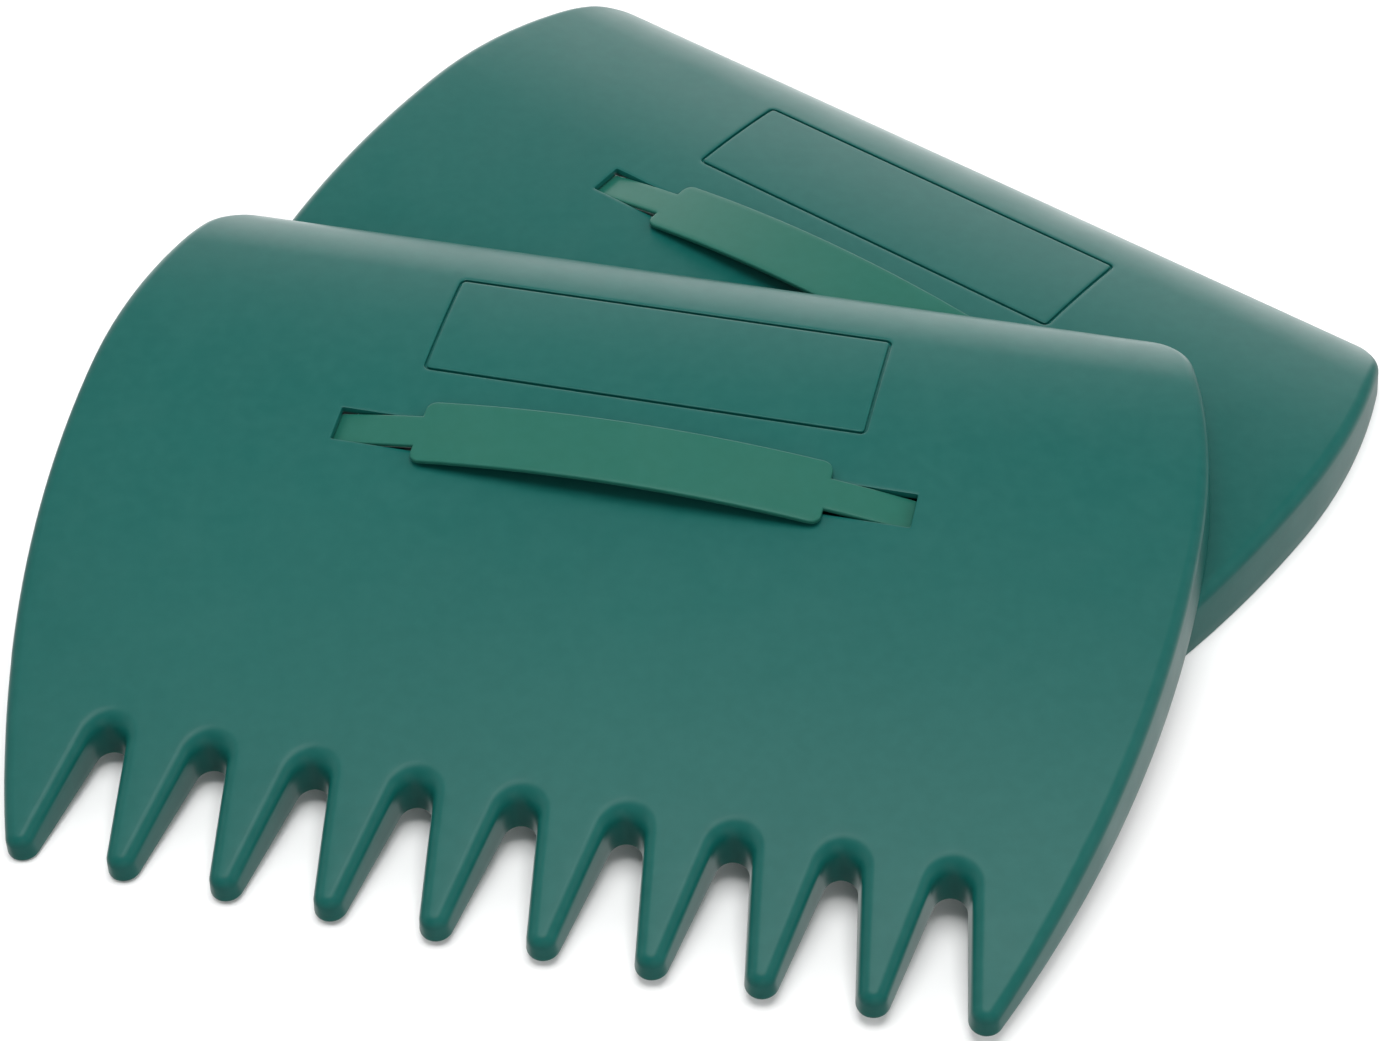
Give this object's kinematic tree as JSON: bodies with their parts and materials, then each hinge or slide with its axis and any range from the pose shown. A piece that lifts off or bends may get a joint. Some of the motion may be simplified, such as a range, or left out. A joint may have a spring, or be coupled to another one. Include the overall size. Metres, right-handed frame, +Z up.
{
  "type": "leaf grabber hands",
  "caption": "Pair of hand-worn leaf scoops: hollow toothed plastic shells, each with a flexible strap on its back for the hand, one lying over the other.",
  "frame": {"origin": "on the ground, under the middle of the pair's bounding box", "axes": "+Z up, +Y from the front hand's teeth towards the hands' heels, the pair's longest way; +X to the right seen from the teeth"},
  "size_m": [0.441, 0.4684, 0.0481],
  "materials": {
    "shell_green": "satin moulded polypropylene",
    "strap_green": "satin moulded polypropylene"
  },
  "bodies": {
    "rear_hand": {"rear_shell": "shell_green"},
    "rear_strap_body": {"rear_strap": "strap_green", "rear_strap_tabs": "strap_green"},
    "front_hand": {"front_shell": "shell_green"},
    "front_strap_body": {"front_strap": "strap_green", "front_strap_tabs": "strap_green"}
  },
  "joints": [
    {"name": "rear_strap_bow", "type": "slide", "parent": "rear_hand", "child": "rear_strap_body", "axis": [0, 0, 1], "range_m": [0, 0.017], "stiffness_N_per_m": 200, "deforming": ["rear_strap_tabs"]},
    {"name": "front_hand_lift", "type": "slide", "parent": "rear_strap_body", "child": "front_hand", "axis": [0, 0, 1], "range_m": [0, 0.15]},
    {"name": "front_strap_bow", "type": "slide", "parent": "front_hand", "child": "front_strap_body", "axis": [-0.0374, -0.093, 0.995], "range_m": [0, 0.017], "stiffness_N_per_m": 200, "deforming": ["front_strap_tabs"]}
  ]
}
